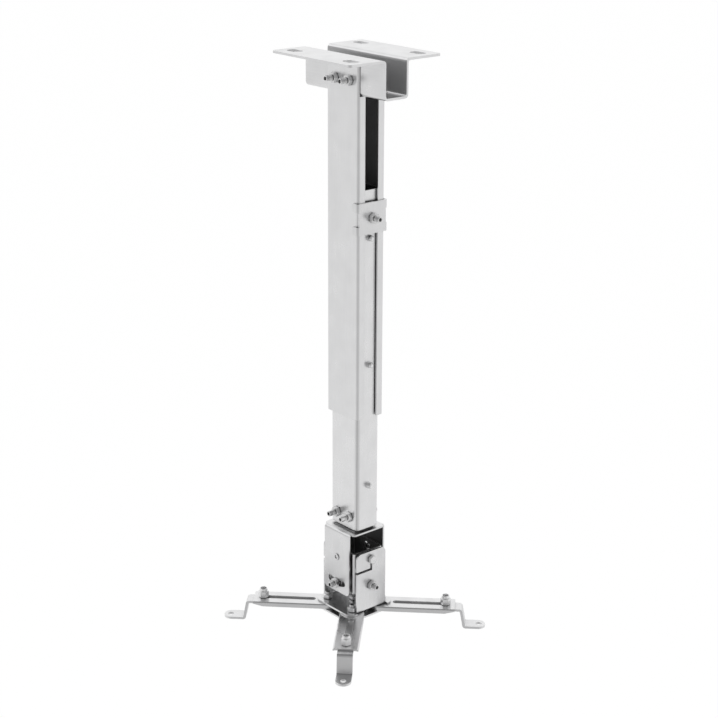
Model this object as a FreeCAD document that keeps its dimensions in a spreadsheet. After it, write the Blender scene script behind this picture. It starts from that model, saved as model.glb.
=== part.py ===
"""Telescopic ceiling mount for a projector: hat bracket, two-part column, two-way tilt box and four arms.

Millimetres. The origin is on the ceiling, at the middle of the bracket's four slots, with +Z up: the mount
hangs below z = 0. The column's slotted side faces +X.
"""
import FreeCAD, Part
import math
import os
import re

import Sketcher
from FreeCAD import Placement, Rotation, Vector

# Driving sizes
SIZES = (
    # ceiling bracket, a hat section folded from one sheet
    ("bracket_length", 98.0),
    ("bracket_width", 96.0),
    ("bracket_depth", 32.0),
    ("bracket_sheet", 2.0),
    ("bracket_bend", 1.5),
    ("bracket_corner", 3.0),
    ("ceiling_pitch_x", 70.0),
    ("ceiling_pitch_y", 70.0),
    ("ceiling_slot_length", 15.0),
    ("ceiling_slot_width", 9.5),
    ("bracket_bolt_pitch", 18.0),
    ("bracket_bolt_drop", 20.0),
    # outer column, a lipped channel
    ("column_x", 40.0),
    ("column_y", 29.0),
    ("column_wall", 1.6),
    ("column_corner", 2.6),
    ("column_top", 4.0),
    ("column_length", 304.0),
    ("column_slot", 14.0),
    # inner column, a closed tube
    ("inner_x", 35.2),
    ("inner_wall", 1.5),
    ("inner_corner", 4.0),
    ("inner_length", 302.0),
    ("inner_drop", 110.0),
    ("guide_lead", 17.9),
    ("guide_tail", 40.6),
    ("guide_head_radius", 2.7),
    ("guide_head_height", 4.6),
    ("guide_shank_radius", 1.7),
    ("guide_shank_length", 6.0),
    # clamp over the lips of the outer column
    ("clamp_drop", 22.7),
    ("clamp_height", 26.5),
    ("clamp_sheet", 1.6),
    ("clamp_bend", 0.8),
    ("clamp_ear_length", 5.0),
    ("clamp_ear_height", 7.0),
    ("clamp_edge", 0.6),
    ("clamp_thread", 5.5),
    # socket inside the foot of the inner column
    ("socket_width", 26.0),
    ("socket_height", 24.0),
    ("socket_sheet", 1.6),
    ("socket_bend", 0.8),
    ("socket_bolt_pitch", 16.0),
    ("socket_bolt_rise", 11.0),
    ("seat_gap", 2.0),
    # yoke, ring and cradle of the tilt box
    ("yoke_side", 33.0),
    ("yoke_top_x", 40.0),
    ("yoke_height", 59.5),
    ("yoke_sheet", 1.6),
    ("yoke_bend", 1.2),
    ("yoke_corner", 3.5),
    ("yoke_plate_corner", 3.0),
    ("pivot_drop", 26.0),
    ("lock_radius", 25.0),
    ("lock_sweep", 20.0),
    ("ring_x", 38.0),
    ("ring_y", 33.0),
    ("ring_gap", 2.3),
    ("ring_wall", 1.6),
    ("ring_corner", 3.0),
    ("ring_rise", 7.0),
    ("ring_fall", 31.0),
    ("cradle_side", 32.8),
    ("cradle_sheet", 1.6),
    ("cradle_bend", 1.2),
    ("cradle_corner", 5.0),
    ("cradle_rise", 7.4),
    ("cradle_fall", 49.3),
    ("cradle_relief", 1.0),
    ("slit_width", 2.2),
    ("slit_drop", 10.0),
    # arms and feet
    ("arm_pivot_pitch", 33.5),
    ("lobe_reach", 8.5),
    ("lobe_corner", 7.0),
    ("arm_width", 22.0),
    ("arm_reach", 66.5),
    ("arm_sheet", 1.6),
    ("arm_depth", 4.2),
    ("arm_bend", 1.2),
    ("arm_run_out", 9.0),
    ("arm_slot_start", 13.7),
    ("arm_slot_margin", 8.5),
    ("foot_width", 13.5),
    ("foot_sheet", 2.0),
    ("foot_bend", 1.0),
    ("foot_tail", 47.5),
    ("foot_bend_run", 15.0),
    ("foot_lean", 3.0),
    ("foot_drop", 16.5),
    ("foot_hole_run", 30.0),
    ("foot_tip", 5.8),
    ("foot_hole_radius", 2.6),
    # cover plate below the arms' roots
    ("cover_sheet", 1.6),
    ("cover_spacer_radius", 8.0),
    # fasteners
    ("bolt_radius", 2.5),
    ("nut_across_flats", 8.0),
    ("nut_height", 4.0),
    ("head_height", 3.5),
    ("bolt_end", 6.5),
    ("lock_end", 4.0),
    ("pitch_head_radius", 3.2),
    ("pitch_head_height", 0.8),
    ("roll_head_radius", 4.2),
    ("roll_head_height", 3.2),
    ("rivet_tail_radius", 4.2),
    ("rivet_tail_height", 1.5),
    ("pivot_end", 2.0),
    ("carriage_head_radius", 4.8),
    ("carriage_head_height", 2.2),
    ("carriage_end", 3.4),
    ("sleeve_radius", 3.3),
    ("sleeve_height", 4.7),
    # clearances
    ("sheet_gap", 0.3),
    ("slip_gap", 0.1),
    ("run_gap", 0.05),
    ("slot_gap", 0.3),
)

doc = FreeCAD.newDocument("ProjectorMount")
sheet = doc.addObject("Spreadsheet::Sheet", "Sizes")
for row, (alias, number) in enumerate(SIZES, 1):
    sheet.set(f"A{row}", alias)
    sheet.set(f"B{row}", str(number))
    sheet.setAlias(f"B{row}", alias)
doc.recompute()
ALIASES = {alias for alias, number in SIZES}

# Shared places, as expressions of the driving sizes
WEB_HALF = "(column_y / 2 - column_wall - sheet_gap)"
INNER_Y = "(column_y - 2 * column_wall - 2 * sheet_gap)"
BORE_Y_HALF = "(column_y / 2 - column_wall)"
INNER_BOTTOM = "(-inner_drop - inner_length)"
SOCKET_HALF = f"({INNER_Y} / 2 - inner_wall - slip_gap)"
SOCKET_BOLT_Z = f"({INNER_BOTTOM} + socket_bolt_rise)"
CLAMP_Z = "(-inner_drop - clamp_drop)"
GUIDE_TOP = f"({CLAMP_Z} - guide_lead)"
GUIDE_BOTTOM = f"({INNER_BOTTOM} + guide_tail)"
GUIDE_SPOTS = (GUIDE_TOP, f"({GUIDE_TOP} + {GUIDE_BOTTOM}) / 2", GUIDE_BOTTOM)
YOKE_TOP = f"({INNER_BOTTOM} - seat_gap)"
YOKE_BOTTOM = f"({YOKE_TOP} - yoke_height)"
YOKE_INNER = "(ring_y / 2 + ring_gap)"
YOKE_OUTER = f"({YOKE_INNER} + yoke_sheet)"
TILT_Z = f"({YOKE_TOP} - pivot_drop)"
LOCK_Z = f"({TILT_Z} - lock_radius)"
CRADLE_INNER = "(ring_x / 2 + ring_gap)"
CRADLE_OUTER = f"({CRADLE_INNER} + cradle_sheet)"
CRADLE_BOTTOM = f"({TILT_Z} - cradle_fall)"
CRADLE_TOP = f"({TILT_Z} + cradle_rise)"
ARM_TOP = f"({CRADLE_BOTTOM} - slip_gap)"
COVER_TOP = f"({ARM_TOP} - arm_depth - sheet_gap)"
LOBE_EDGE = "(arm_pivot_pitch / 2 + lobe_reach)"
SLOT_END = "(arm_reach - arm_slot_margin)"
FOOT_BEND = f"({SLOT_END} + foot_bend_run)"
FOOT_HOLE = f"({SLOT_END} + foot_hole_run)"
STRIP_TOP = "(-arm_sheet - slip_gap)"
FOOT_TOP = f"({STRIP_TOP} - foot_drop)"
HOLE_RADIUS = "(bolt_radius + run_gap)"
SLOT_RADIUS = "(bolt_radius + slot_gap)"
NUT_CORNER = "(nut_across_flats / sqrt(3))"
SINK = "(arm_sheet - slip_gap)"

X_WAY = Vector(1, 0, 0)
Y_WAY = Vector(0, 1, 0)
Z_WAY = Vector(0, 0, 1)
CORNERS = {"right": (1, 1), "back": (-1, 1), "left": (-1, -1), "front": (1, -1)}
SIDES = ("-", "")
TOLERANCE = 1e-4


def bound(text):
    """The expression with each size's name pointed at the sheet."""
    return re.sub(r"[a-z]\w*", lambda word: f"Sizes.{word[0]}" if word[0] in ALIASES else word[0], text)


def value(text):
    """The number that an expression of sizes stands for."""
    return float(sheet.evalExpression(bound(text)))


def bind(item, prop, text):
    """Ties one property of an object to an expression of sizes."""
    item.setExpression(prop, bound(text))


class Outline:
    """A sketch on one of a body's origin planes, with every point bound to the size sheet."""

    def __init__(self, body, name, role, offset=None):
        self.sketch = body.newObject("Sketcher::SketchObject", f"{body.Name}_{name}")
        plane = next(item for item in body.Origin.OriginFeatures if item.Role == role)
        self.sketch.AttachmentSupport = [(plane, "")]
        self.sketch.MapMode = "FlatFace"
        if offset:
            bind(self.sketch, "AttachmentOffset.Base.z", offset)

    def measure(self, kind, text, *ends):
        """Adds one dimension and binds it."""
        index = self.sketch.addConstraint(Sketcher.Constraint(kind, *ends, value(text)))
        bind(self.sketch, f"Constraints[{index}]", text)

    def fix(self, geometry, position, x, y):
        """Binds a point of the sketch to its two coordinates."""
        self.measure("DistanceX", x, -1, 1, geometry, position)
        self.measure("DistanceY", y, -1, 1, geometry, position)

    def join(self, first, second):
        """Makes the end of one edge meet the start of the next."""
        self.sketch.addConstraint(Sketcher.Constraint("Coincident", first, 2, second, 1))

    def polygon(self, *points):
        """A closed outline of straight edges."""
        spots = [Vector(value(x), value(y), 0) for x, y in points]
        sides = zip(spots, spots[1:] + spots[:1])
        edges = [self.sketch.addGeometry(Part.LineSegment(start, end)) for start, end in sides]
        for edge, following in zip(edges, edges[1:] + edges[:1]):
            self.join(edge, following)
        for edge, (x, y) in zip(edges, points):
            self.fix(edge, 1, x, y)
        return self

    def rectangle(self, left, bottom, right, top):
        """A closed rectangle between two corners."""
        return self.polygon((left, bottom), (right, bottom), (right, top), (left, top))

    def centred(self, width, height):
        """A rectangle about the sketch's origin."""
        return self.rectangle(f"-({width}) / 2", f"-({height}) / 2", f"({width}) / 2", f"({height}) / 2")

    def circle(self, x, y, radius):
        """A round hole."""
        edge = self.sketch.addGeometry(Part.Circle(Vector(value(x), value(y), 0), Z_WAY, value(radius)))
        self.fix(edge, 3, x, y)
        self.measure("Radius", radius, edge)
        return self

    def arc(self, x, y, radius, start, end):
        """An arc's geometry, in degrees, left for the caller to constrain."""
        circle = Part.Circle(Vector(value(x), value(y), 0), Z_WAY, value(radius))
        return self.sketch.addGeometry(Part.ArcOfCircle(circle, math.radians(start), math.radians(end)))

    def line(self, x0, y0, x1, y1):
        """A straight edge's geometry, left for the caller to constrain."""
        start = Vector(value(x0), value(y0), 0)
        end = Vector(value(x1), value(y1), 0)
        return self.sketch.addGeometry(Part.LineSegment(start, end))

    def slot(self, x0, x1, y, radius):
        """A straight slot along the sketch's x axis, between two end centres."""
        right = self.arc(x1, y, radius, -90, 90)
        upper = self.line(x1, f"{y} + {radius}", x0, f"{y} + {radius}")
        left = self.arc(x0, y, radius, 90, 270)
        lower = self.line(x0, f"{y} - {radius}", x1, f"{y} - {radius}")
        for first, second in ((right, upper), (upper, left), (left, lower), (lower, right)):
            self.sketch.addConstraint(Sketcher.Constraint("Tangent", first, 2, second, 1))
        self.fix(right, 3, x1, y)
        self.measure("DistanceX", x0, -1, 1, left, 3)
        self.measure("DistanceY", y, -1, 1, left, 3)
        self.measure("Radius", radius, right)
        return self

    def arc_slot(self, x, y, reach, sweep, radius):
        """A curved slot below a pivot, swept both ways from straight down."""
        angle = value(sweep)
        side = f"({reach}) * sin({sweep})"
        height = f"{y} - ({reach}) * cos({sweep})"
        outer = self.arc(x, y, f"{reach} + {radius}", 270 - angle, 270 + angle)
        right = self.arc(f"{x} + {side}", height, radius, -90 + angle, 90 + angle)
        inner = self.arc(x, y, f"{reach} - {radius}", 270 - angle, 270 + angle)
        left = self.arc(f"{x} - {side}", height, radius, 90 - angle, 270 - angle)
        corners = ((outer, 2, right, 1), (right, 2, inner, 2), (inner, 1, left, 1), (left, 2, outer, 1))
        for first, end, second, start in corners:
            self.sketch.addConstraint(Sketcher.Constraint("Tangent", first, end, second, start))
        self.fix(outer, 3, x, y)
        self.fix(inner, 3, x, y)
        self.measure("Radius", f"{reach} + {radius}", outer)
        self.measure("Radius", f"{reach} - {radius}", inner)
        self.measure("DistanceX", f"{x} + {side}", -1, 1, right, 3)
        self.measure("DistanceX", f"{x} - {side}", -1, 1, left, 3)
        return self

    def tongue(self, radius, reach):
        """A strip along x with a round end about the origin and a square end."""
        round_end = self.arc("0", "0", radius, 90, 270)
        near = self.line("0", f"-({radius})", reach, f"-({radius})")
        end = self.line(reach, f"-({radius})", reach, radius)
        far = self.line(reach, radius, "0", radius)
        for first, second in ((round_end, near), (near, end), (end, far), (far, round_end)):
            self.join(first, second)
        self.fix(round_end, 3, "0", "0")
        self.measure("Radius", radius, round_end)
        self.measure("DistanceX", "0", -1, 1, round_end, 1)
        self.measure("DistanceX", "0", -1, 1, round_end, 2)
        self.fix(end, 1, reach, f"-({radius})")
        self.fix(end, 2, reach, radius)
        return self


def new_body(label):
    """An empty body that carries a sub-part's name."""
    body = doc.addObject("PartDesign::Body", label)
    body.Label = label
    return body


def pad(body, outline, length, way="Symmetric"):
    """Pads an outline to both sides, or to the Up or Down side of its plane."""
    feature = body.newObject("PartDesign::Pad", f"{outline.sketch.Name}_pad")
    feature.Profile = outline.sketch
    feature.SideType = "Symmetric" if way == "Symmetric" else "One side"
    feature.Reversed = way == "Down"
    bind(feature, "Length", length)
    doc.recompute()
    return feature


def pocket(body, outline, way="Symmetric"):
    """Cuts an outline through everything, to both sides or to the Up or Down side of its plane."""
    before = body.Shape.Volume
    feature = body.newObject("PartDesign::Pocket", f"{outline.sketch.Name}_cut")
    feature.Profile = outline.sketch
    feature.Type = "ThroughAll"
    feature.SideType = "Symmetric" if way == "Symmetric" else "One side"
    feature.Reversed = way == "Up"
    doc.recompute()
    if not body.Shape.Volume < before - TOLERANCE:
        raise RuntimeError(f"{feature.Name} cuts nothing")
    return feature


def edges_along(body, axis, *spots):
    """Names of the straight edges that run along an axis through the given spots."""
    keep = [index for index in range(3) if not axis[index]]
    goals = [[value(text) for text in spot] for spot in spots]
    names = []
    for number, edge in enumerate(body.Shape.Edges, 1):
        if not isinstance(edge.Curve, Part.Line) or abs(edge.Curve.Direction.dot(axis)) < 1 - TOLERANCE:
            continue
        middle = edge.CenterOfMass
        if any(all(abs(middle[k] - g) < TOLERANCE for k, g in zip(keep, goal)) for goal in goals):
            names.append(f"Edge{number}")
    return names


def edge_feature(body, kind, name, prop, size, edges):
    """Adds a fillet or a chamfer on the named edges of a body's last feature."""
    base = body.Tip
    feature = body.newObject(f"PartDesign::{kind}", f"{body.Name}_{name}")
    feature.Base = (base, edges)
    bind(feature, prop, size)
    doc.recompute()
    if "Invalid" in feature.State:
        raise RuntimeError(f"{feature.Name} is not built")
    return feature


def fillet(body, name, radius, edges):
    """Rounds the named edges of a body's last feature."""
    return edge_feature(body, "Fillet", name, "Radius", radius, edges)


def countersink(body, radius, level, depth):
    """Bevels the rim of a round hole for a sunk head."""
    rim = [f"Edge{number}" for number, edge in enumerate(body.Shape.Edges, 1)
           if isinstance(edge.Curve, Part.Circle)
           and abs(edge.Curve.Radius - value(radius)) < TOLERANCE
           and abs(edge.Curve.Center.z - value(level)) < TOLERANCE]
    return edge_feature(body, "Chamfer", "countersink", "Size", depth, rim)


def both(x, y):
    """The two spots that mirror each other across the second axis."""
    return (f"-({x})", y), (x, y)


def four(x, y):
    """The four spots that mirror each other across both axes."""
    return *both(x, f"-({y})"), *both(x, y)


def place(item, x, y, z, rotation=None):
    """Sets where a sub-part stands, bound to the sheet."""
    item.Placement = Placement(Vector(value(x), value(y), value(z)), rotation or Rotation())
    for letter, text in zip("xyz", (x, y, z)):
        bind(item, f"Placement.Base.{letter}", text)
    return item


def facing(direction):
    """The turn that lays a fastener's own +Z along a direction."""
    return Rotation(Z_WAY, direction)


def cylinder(name, radius, height, base="0"):
    """A round stretch along a fastener's axis."""
    item = doc.addObject("Part::Cylinder", name)
    bind(item, "Radius", radius)
    bind(item, "Height", height)
    bind(item, "Placement.Base.z", base)
    return item


def hexagon(name, height, base="0"):
    """A six-sided stretch along a fastener's axis."""
    item = doc.addObject("Part::Prism", name)
    item.Polygon = 6
    bind(item, "Circumradius", NUT_CORNER)
    bind(item, "Height", height)
    bind(item, "Placement.Base.z", base)
    return item


def fused(label, *shapes):
    """One fastener from its stretches."""
    item = doc.addObject("Part::MultiFuse", label)
    item.Label = label
    item.Shapes = shapes
    return item


def hex_bolt(label, length, *collars):
    """A bolt with its head below its own z = 0 and its shank, with any collars, above."""
    head = hexagon(f"{label}_head", "head_height", "-head_height")
    shank = cylinder(f"{label}_shank", "bolt_radius", f"{length} + head_height", "-head_height")
    return fused(label, head, shank, *collars)


def sunk_bolt(label, length):
    """A bolt with a sunk head, flush with its own z = 0, and its shank above."""
    head = doc.addObject("Part::Cone", f"{label}_head")
    bind(head, "Radius1", f"bolt_radius + {SINK}")
    bind(head, "Radius2", "bolt_radius")
    bind(head, "Height", SINK)
    shank = cylinder(f"{label}_shank", "bolt_radius", f"{length} - {SINK}", SINK)
    return fused(label, head, shank)


def bored(label, block, height):
    """A nut from its block, with a clear bore."""
    item = doc.addObject("Part::Cut", label)
    item.Label = label
    item.Base = block
    item.Tool = cylinder(f"{label}_bore", HOLE_RADIUS, height)
    return item


def hex_nut(label):
    """A nut that stands on its own z = 0."""
    return bored(label, hexagon(f"{label}_block", "nut_height"), "nut_height")


def sleeved_nut(label):
    """A nut on its own z = 0 with a round sleeve above its hexagon."""
    base = hexagon(f"{label}_base", "nut_height")
    sleeve = cylinder(f"{label}_sleeve", "sleeve_radius", "sleeve_height", "nut_height")
    return bored(label, fused(f"{label}_block", base, sleeve), "nut_height + sleeve_height")


def round_headed(label, head_radius, head_height, shank_radius, length):
    """A screw with a round head below its own z = 0 and its shank above."""
    head = cylinder(f"{label}_head", head_radius, head_height, f"-({head_height})")
    shank = cylinder(f"{label}_shank", shank_radius, f"{length} + {head_height}", f"-({head_height})")
    return fused(label, head, shank)


def group(label, items):
    """Like fasteners that share one node."""
    item = doc.addObject("Part::Compound", label)
    item.Label = label
    item.Links = items
    return item


def ceiling_bracket():
    """Hat section: two flanges on the ceiling, two webs and a floor, folded from one sheet."""
    body = new_body("ceiling_bracket")
    half = "bracket_width / 2"
    inner = f"({WEB_HALF} - bracket_sheet)"
    floor = "-bracket_depth"
    hat = Outline(body, "hat", "YZ_Plane").polygon(
        (f"-{half}", "0"), (f"-{inner}", "0"), (f"-{inner}", f"{floor} + bracket_sheet"),
        (inner, f"{floor} + bracket_sheet"), (inner, "0"), (half, "0"),
        (half, "-bracket_sheet"), (WEB_HALF, "-bracket_sheet"), (WEB_HALF, floor),
        (f"-{WEB_HALF}", floor), (f"-{WEB_HALF}", "-bracket_sheet"), (f"-{half}", "-bracket_sheet"))
    pad(body, hat, "bracket_length")
    tight = both(WEB_HALF, "-bracket_sheet") + both(inner, f"{floor} + bracket_sheet")
    wide = both(inner, "0") + both(WEB_HALF, floor)
    fillet(body, "inner_bends", "bracket_bend", edges_along(body, X_WAY, *tight))
    fillet(body, "outer_bends", "bracket_bend + bracket_sheet", edges_along(body, X_WAY, *wide))
    fillet(body, "corners", "bracket_corner", edges_along(body, Z_WAY, *four("bracket_length / 2", half)))
    slots = Outline(body, "slots", "XY_Plane")
    run = "(ceiling_slot_length - ceiling_slot_width) / 2"
    for side in SIDES:
        for end in SIDES:
            middle = f"{end}ceiling_pitch_x / 2"
            level = f"{side}ceiling_pitch_y / 2"
            slots.slot(f"{middle} - {run}", f"{middle} + {run}", level, "ceiling_slot_width / 2")
    pocket(body, slots)
    holes = Outline(body, "bolt_holes", "XZ_Plane")
    for end in SIDES:
        holes.circle(f"{end}bracket_bolt_pitch / 2", "-bracket_bolt_drop", HOLE_RADIUS)
    pocket(body, holes)
    return body


def outer_column():
    """Lipped channel, open down its +X side, whose top straddles the bracket."""
    body = new_body("outer_column")
    x, y = "column_x / 2", "column_y / 2"
    xi, yi = "(column_x / 2 - column_wall)", BORE_Y_HALF
    lip = "column_slot / 2"
    channel = Outline(body, "channel", "XY_Plane", "-column_top").polygon(
        (x, f"-{lip}"), (x, f"-{y}"), (f"-{x}", f"-{y}"), (f"-{x}", y), (x, y), (x, lip),
        (xi, lip), (xi, yi), (f"-{xi}", yi), (f"-{xi}", f"-{yi}"), (xi, f"-{yi}"), (xi, f"-{lip}"))
    pad(body, channel, "column_length", "Down")
    fillet(body, "outer_bends", "column_corner", edges_along(body, Z_WAY, *four(x, y)))
    fillet(body, "inner_bends", "column_corner - column_wall", edges_along(body, Z_WAY, *four(xi, yi)))
    notch = Outline(body, "notch", "YZ_Plane")
    notch.rectangle(f"-{yi}", "-bracket_depth - sheet_gap", yi, "bracket_sheet")
    pocket(body, notch)
    holes = Outline(body, "bolt_holes", "XZ_Plane")
    for end in SIDES:
        holes.circle(f"{end}bracket_bolt_pitch / 2", "-bracket_bolt_drop", HOLE_RADIUS)
    pocket(body, holes)
    return body


def inner_column():
    """Closed tube that slides in the outer column, with threaded places down its +X side."""
    body = new_body("inner_column")
    bore_x, bore_y = "(inner_x - 2 * inner_wall)", f"({INNER_Y} - 2 * inner_wall)"
    tube = Outline(body, "tube", "XY_Plane", "-inner_drop")
    tube.centred("inner_x", INNER_Y).centred(bore_x, bore_y)
    pad(body, tube, "inner_length", "Down")
    outer_edges = edges_along(body, Z_WAY, *four("inner_x / 2", f"{INNER_Y} / 2"))
    fillet(body, "outer_bends", "inner_corner", outer_edges)
    inner_edges = edges_along(body, Z_WAY, *four(f"{bore_x} / 2", f"{bore_y} / 2"))
    fillet(body, "inner_bends", "inner_corner - inner_wall", inner_edges)
    front = Outline(body, "front_holes", "YZ_Plane")
    for z in GUIDE_SPOTS:
        front.circle("0", z, "guide_shank_radius + run_gap")
    front.circle("0", CLAMP_Z, HOLE_RADIUS)
    pocket(body, front, "Up")
    holes = Outline(body, "bolt_holes", "XZ_Plane")
    for end in SIDES:
        holes.circle(f"{end}socket_bolt_pitch / 2", SOCKET_BOLT_Z, HOLE_RADIUS)
    pocket(body, holes)
    return body


def clamp_plate():
    """Plate over the slot's lips, with four ears bent round the column's sides."""
    body = new_body("clamp_plate")
    back = "(column_x / 2 + slip_gap)"
    front = f"({back} + clamp_sheet)"
    ear = "(column_x / 2 - clamp_ear_length)"
    inside = "(column_y / 2 + sheet_gap)"
    outside = f"({inside} + clamp_sheet)"
    saddle = Outline(body, "saddle", "XY_Plane", CLAMP_Z).polygon(
        (front, f"-{outside}"), (front, outside), (ear, outside), (ear, inside),
        (back, inside), (back, f"-{inside}"), (ear, f"-{inside}"), (ear, f"-{outside}"))
    pad(body, saddle, "clamp_height")
    inner_edges = edges_along(body, Z_WAY, (back, inside), (back, f"-{inside}"))
    fillet(body, "inner_bends", "clamp_bend", inner_edges)
    outer_edges = edges_along(body, Z_WAY, (front, outside), (front, f"-{outside}"))
    fillet(body, "outer_bends", "clamp_bend + clamp_sheet", outer_edges)
    gaps = Outline(body, "ear_gaps", "YZ_Plane")
    low = f"{CLAMP_Z} - clamp_height / 2 + clamp_ear_height"
    high = f"{CLAMP_Z} + clamp_height / 2 - clamp_ear_height"
    gaps.rectangle(f"-{outside} - clamp_sheet", low, f"-{inside} + clamp_edge", high)
    gaps.rectangle(f"{inside} - clamp_edge", low, f"{outside} + clamp_sheet", high)
    pocket(body, gaps)
    pocket(body, Outline(body, "bolt_hole", "YZ_Plane").circle("0", CLAMP_Z, HOLE_RADIUS))
    return body


def tube_socket():
    """Channel on the yoke that the foot of the inner column is bolted over."""
    body = new_body("tube_socket")
    h, t = SOCKET_HALF, "socket_sheet"
    top = f"{YOKE_TOP} + socket_height"
    inside, floor = f"({h} - {t})", f"{YOKE_TOP} + {t}"
    channel = Outline(body, "channel", "YZ_Plane").polygon(
        (f"-{h}", YOKE_TOP), (h, YOKE_TOP), (h, top), (inside, top), (inside, floor),
        (f"-{inside}", floor), (f"-{inside}", top), (f"-{h}", top))
    pad(body, channel, "socket_width")
    fillet(body, "inner_bends", "socket_bend", edges_along(body, X_WAY, *both(inside, floor)))
    fillet(body, "outer_bends", "socket_bend + socket_sheet", edges_along(body, X_WAY, *both(h, YOKE_TOP)))
    holes = Outline(body, "bolt_holes", "XZ_Plane")
    for end in SIDES:
        holes.circle(f"{end}socket_bolt_pitch / 2", SOCKET_BOLT_Z, HOLE_RADIUS)
    pocket(body, holes)
    return body


def yoke():
    """Upper fork: a top plate under the column and two side plates with curved tilt slots."""
    body = new_body("yoke")
    o, i, t = YOKE_OUTER, YOKE_INNER, "yoke_sheet"
    fork = Outline(body, "fork", "YZ_Plane").polygon(
        (f"-{o}", YOKE_TOP), (o, YOKE_TOP), (o, YOKE_BOTTOM), (i, YOKE_BOTTOM), (i, f"{YOKE_TOP} - {t}"),
        (f"-{i}", f"{YOKE_TOP} - {t}"), (f"-{i}", YOKE_BOTTOM), (f"-{o}", YOKE_BOTTOM))
    pad(body, fork, "yoke_side")
    fillet(body, "inner_bends", "yoke_bend", edges_along(body, X_WAY, *both(i, f"{YOKE_TOP} - {t}")))
    fillet(body, "outer_bends", "yoke_bend + yoke_sheet", edges_along(body, X_WAY, *both(o, YOKE_TOP)))
    fillet(body, "tips", "yoke_corner", edges_along(body, Y_WAY, *both("yoke_side / 2", YOKE_BOTTOM)))
    flat = f"({o} - yoke_bend - yoke_sheet)"
    plate = Outline(body, "top_plate", "XY_Plane", YOKE_TOP).centred("yoke_top_x", f"2 * {flat}")
    pad(body, plate, "yoke_sheet", "Down")
    corners = edges_along(body, Z_WAY, *four("yoke_top_x / 2", flat))
    fillet(body, "plate_corners", "yoke_plate_corner", corners)
    cuts = Outline(body, "tilt_cuts", "XZ_Plane").circle("0", TILT_Z, HOLE_RADIUS)
    cuts.arc_slot("0", TILT_Z, "lock_radius", "lock_sweep", SLOT_RADIUS)
    pocket(body, cuts)
    return body


def tilt_ring():
    """Four-walled ring between the yoke and the cradle, pivoted to both."""
    body = new_body("tilt_ring")
    inner_x, inner_y = "(ring_x - 2 * ring_wall)", "(ring_y - 2 * ring_wall)"
    walls = Outline(body, "walls", "XY_Plane", f"{TILT_Z} + ring_rise")
    pad(body, walls.centred("ring_x", "ring_y").centred(inner_x, inner_y), "ring_rise + ring_fall", "Down")
    fillet(body, "outer_bends", "ring_corner", edges_along(body, Z_WAY, *four("ring_x / 2", "ring_y / 2")))
    inner_edges = edges_along(body, Z_WAY, *four(f"{inner_x} / 2", f"{inner_y} / 2"))
    fillet(body, "inner_bends", "ring_corner - ring_wall", inner_edges)
    pitch = Outline(body, "pitch_holes", "XZ_Plane").circle("0", TILT_Z, HOLE_RADIUS)
    pocket(body, pitch.circle("0", LOCK_Z, HOLE_RADIUS))
    roll = Outline(body, "roll_cuts", "YZ_Plane").circle("0", TILT_Z, HOLE_RADIUS)
    pocket(body, roll.arc_slot("0", TILT_Z, "lock_radius", "lock_sweep", SLOT_RADIUS))
    return body


def cradle():
    """Lower fork: a base plate with four lobes for the arms and two side plates that hang on the ring."""
    body = new_body("cradle")
    o, i, t = CRADLE_OUTER, CRADLE_INNER, "cradle_sheet"
    base, top = CRADLE_BOTTOM, CRADLE_TOP
    fork = Outline(body, "fork", "XZ_Plane").polygon(
        (f"-{o}", base), (o, base), (o, top), (i, top), (i, f"{base} + {t}"),
        (f"-{i}", f"{base} + {t}"), (f"-{i}", top), (f"-{o}", top))
    pad(body, fork, "cradle_side")
    fillet(body, "inner_bends", "cradle_bend", edges_along(body, Y_WAY, *both(i, f"{base} + {t}")))
    fillet(body, "outer_bends", "cradle_bend + cradle_sheet", edges_along(body, Y_WAY, *both(o, base)))
    fillet(body, "tips", "cradle_corner", edges_along(body, X_WAY, *both("cradle_side / 2", top)))
    reach = LOBE_EDGE
    neck = f"({o} - cradle_bend - cradle_sheet)"
    relief = "(cradle_side / 2 + cradle_relief)"
    plate = Outline(body, "base_plate", "XY_Plane", base).polygon(
        (f"-{reach}", f"-{reach}"), (reach, f"-{reach}"), (reach, f"-{relief}"), (neck, f"-{relief}"),
        (neck, relief), (reach, relief), (reach, reach), (f"-{reach}", reach),
        (f"-{reach}", relief), (f"-{neck}", relief), (f"-{neck}", f"-{relief}"), (f"-{reach}", f"-{relief}"))
    pad(body, plate, "cradle_sheet", "Up")
    fillet(body, "lobes", "lobe_corner", edges_along(body, Z_WAY, *four(reach, reach)))
    pivots = Outline(body, "arm_holes", "XY_Plane").circle("0", "0", HOLE_RADIUS)
    for x, y in four("arm_pivot_pitch / 2", "arm_pivot_pitch / 2"):
        pivots.circle(x, y, HOLE_RADIUS)
    pocket(body, pivots)
    holes = Outline(body, "tilt_holes", "YZ_Plane").circle("0", TILT_Z, HOLE_RADIUS)
    pocket(body, holes.circle("0", LOCK_Z, HOLE_RADIUS))
    half, edge = "slit_width / 2", "-cradle_side / 2 - cradle_relief"
    level = f"({TILT_Z} - slit_drop)"
    slit = Outline(body, "hanging_slit", "YZ_Plane").polygon(
        (edge, f"{level} - {half}"), (half, f"{level} - {half}"), (half, TILT_Z),
        (f"-{half}", TILT_Z), (f"-{half}", f"{level} + {half}"), (edge, f"{level} + {half}"))
    pocket(body, slit)
    return body


def cover_plate():
    """Plate below the arms' roots, held off the cradle by a spacer."""
    body = new_body("cover_plate")
    plate = Outline(body, "plate", "XY_Plane", COVER_TOP).centred(f"2 * {CRADLE_OUTER}", f"2 * {LOBE_EDGE}")
    pad(body, plate, "cover_sheet", "Down")
    fillet(body, "corners", "lobe_corner", edges_along(body, Z_WAY, *four(CRADLE_OUTER, LOBE_EDGE)))
    pocket(body, Outline(body, "bolt_hole", "XY_Plane").circle("0", "0", HOLE_RADIUS))
    return body


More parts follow.
